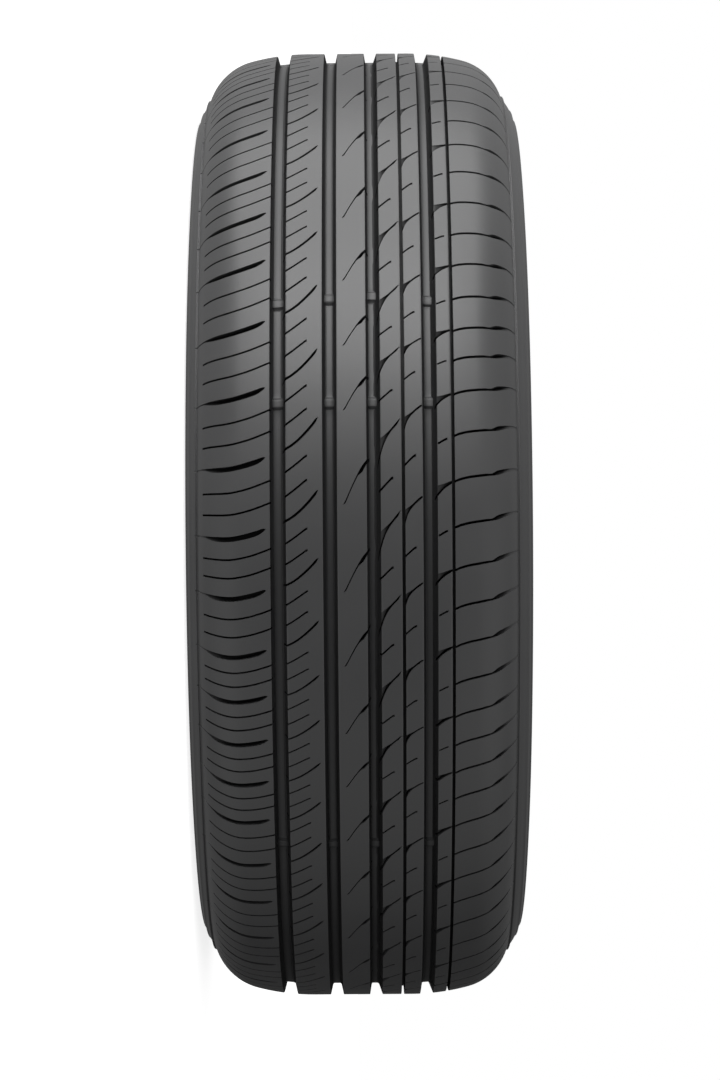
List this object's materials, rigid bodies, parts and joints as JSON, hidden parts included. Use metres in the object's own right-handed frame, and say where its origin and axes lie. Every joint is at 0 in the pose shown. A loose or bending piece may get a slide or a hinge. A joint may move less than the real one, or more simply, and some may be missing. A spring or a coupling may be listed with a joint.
{
  "type": "car tyre",
  "caption": "Road tyre for a passenger car: one moulded ring with ribbed, slotted tread, plain sidewalls and beads that seat on a rim.",
  "frame": {"origin": "centre of the wheel, on its axis and midway between the sidewalls", "axes": "+Z along the wheel's axis, towards the shoulder with the narrow slots; the tyre lies on its other sidewall"},
  "size_m": [0.632, 0.632, 0.2108],
  "materials": {
    "rubber": "matte"
  },
  "bodies": {
    "root": {"tyre": "rubber"}
  },
  "joints": []
}
